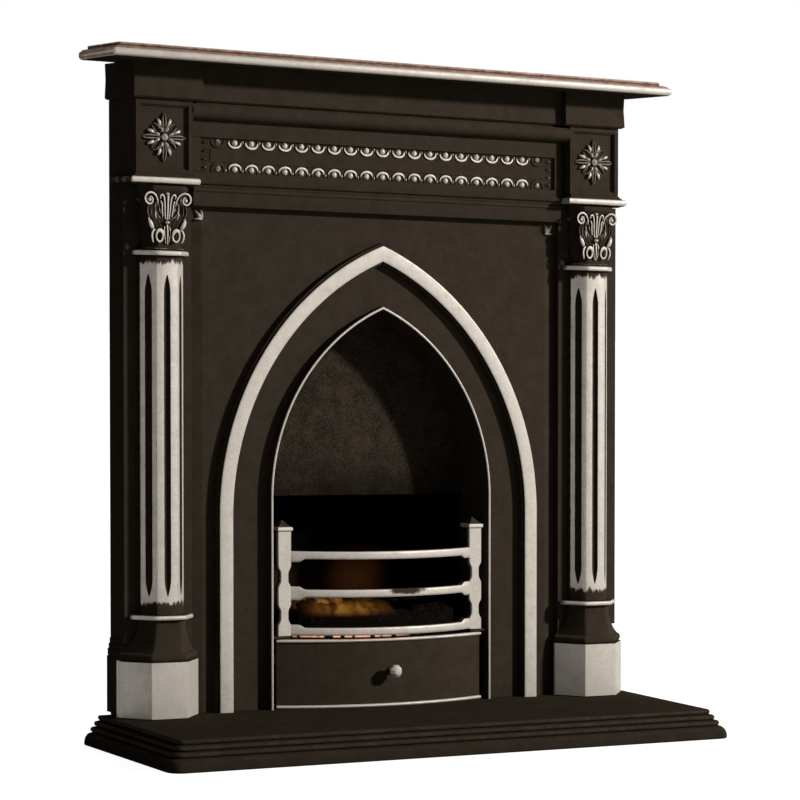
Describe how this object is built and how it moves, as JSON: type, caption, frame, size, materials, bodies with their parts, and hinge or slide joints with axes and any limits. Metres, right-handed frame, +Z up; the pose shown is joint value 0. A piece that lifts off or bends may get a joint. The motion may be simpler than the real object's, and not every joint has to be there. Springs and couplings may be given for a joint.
{
  "type": "combination fireplace",
  "caption": "Cast iron mantel and arched grate in one: fluted octagonal columns, gothic arch, bowed fire bars, ash drawer and reeded hearth.",
  "frame": {"origin": "middle of the whole piece at floor level, halfway between the hearth's front edge and the back of the firebox", "axes": "+X to the right seen from the front, -Y towards the room, +Z up"},
  "size_m": [1.164, 0.5806, 1.219],
  "materials": {
    "black_iron": "matt blackened, with a faint warm sheen",
    "highlight_iron": "hand polished highlight, satin",
    "mottled_iron": "rough, sooty and speckled",
    "firebrick": "sooty fireclay",
    "fuel": "coals, glowing between the lumps",
    "steel": "dull mild steel"
  },
  "bodies": {
    "surround": {"hearth": "black_iron", "right_side_plate": "black_iron", "left_side_plate": "black_iron", "right_wall_screw_1": "steel", "left_wall_screw_1": "steel", "right_wall_screw_2": "steel", "left_wall_screw_2": "steel", "right_plinth": "highlight_iron", "left_plinth": "highlight_iron", "right_column_base": "black_iron", "left_column_base": "black_iron", "right_lower_ring": "highlight_iron", "left_lower_ring": "highlight_iron", "right_upper_ring": "highlight_iron", "left_upper_ring": "highlight_iron", "right_column_shaft": "highlight_iron", "left_column_shaft": "highlight_iron", "right_capital": "black_iron", "left_capital": "black_iron", "right_abacus": "highlight_iron", "left_abacus": "highlight_iron", "right_corner_block": "black_iron", "left_corner_block": "black_iron", "right_rosette": "highlight_iron", "left_rosette": "highlight_iron", "front_panel": "black_iron", "arch_plate": "black_iron", "arch_band": "highlight_iron", "arch_bead": "highlight_iron", "arch_reveal": "black_iron", "right_corner_stop": "highlight_iron", "left_corner_stop": "highlight_iron", "frieze_panel": "black_iron", "egg_dart_border": "highlight_iron", "roll_moulding": "black_iron", "bed_fascia": "black_iron", "mantel_shelf": "highlight_iron", "smoke_plate": "mottled_iron", "right_fire_cheek": "firebrick", "left_fire_cheek": "firebrick", "fireback": "firebrick", "back_hearth": "firebrick", "smoke_hood": "black_iron"},
    "ash_drawer": {"ash_cover": "black_iron", "cover_bottom_bead": "highlight_iron", "cover_top_bead": "highlight_iron", "ash_pan": "steel", "ash_knob": "highlight_iron", "knob_nut": "steel"},
    "fire_bars": {"front_bars": "highlight_iron", "left_post_cap": "highlight_iron", "right_post_cap": "highlight_iron"},
    "fire_grate": {"bottom_grate": "black_iron", "fuel_bed": "fuel"},
    "damper": {"damper_plate": "black_iron", "damper_spindle": "steel"}
  },
  "joints": [
    {"name": "ash_drawer_slide", "type": "slide", "parent": "surround", "child": "ash_drawer", "axis": [0, -1, 0], "range_m": [0, 0.22]},
    {"name": "fire_bars_lift", "type": "slide", "parent": "surround", "child": "fire_bars", "axis": [0, 0, 1], "range_m": [0, 0.05]},
    {"name": "fire_grate_lift", "type": "slide", "parent": "surround", "child": "fire_grate", "axis": [0, 0, 1], "range_m": [0, 0.04]},
    {"name": "damper_turn", "type": "hinge", "parent": "surround", "child": "damper", "pos_m": [0, 0.1875, 0.7353], "axis": [1, 0, 0], "range_deg": [0, 90]}
  ]
}
